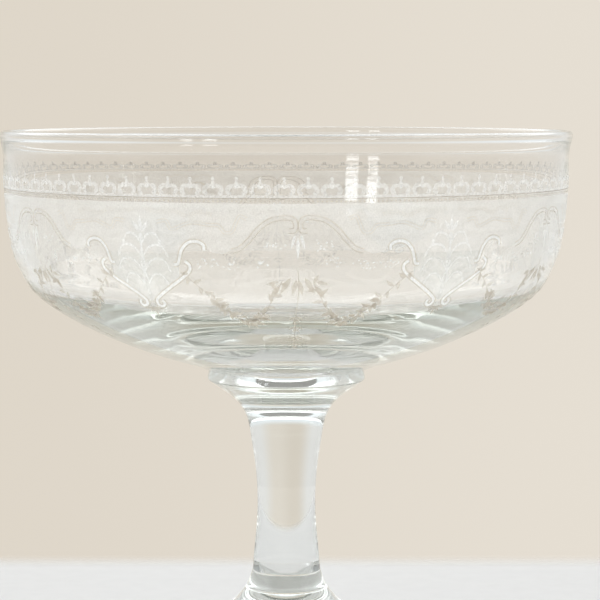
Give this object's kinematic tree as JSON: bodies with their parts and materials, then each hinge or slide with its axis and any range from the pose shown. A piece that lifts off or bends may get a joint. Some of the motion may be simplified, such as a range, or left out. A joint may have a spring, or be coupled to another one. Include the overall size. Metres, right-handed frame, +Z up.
{
  "type": "champagne coupe glass",
  "caption": "Stemmed saucer-shaped sparkling wine glass in clear etched glass, a shallow bowl on a flanged disc, waisted stem and domed foot.",
  "frame": {"origin": "centre of the ring that the foot stands on, at table height", "axes": "+Z up along the glass's axis, from the foot to the rim; +X and +Y are any two horizontal directions, because the glass is round"},
  "size_m": [0.095, 0.095, 0.0915],
  "materials": {
    "bowl_glass": "clear fire-polished glass with a matt etched band of ornament outside",
    "merese_glass": "clear fire-polished glass",
    "stem_glass": "clear fire-polished glass",
    "foot_ring_glass": "clear fire-polished glass",
    "foot_glass": "clear fire-polished glass"
  },
  "bodies": {
    "root": {"bowl": "bowl_glass", "merese": "merese_glass", "stem": "stem_glass", "foot_ring": "foot_ring_glass", "foot": "foot_glass"}
  },
  "joints": []
}
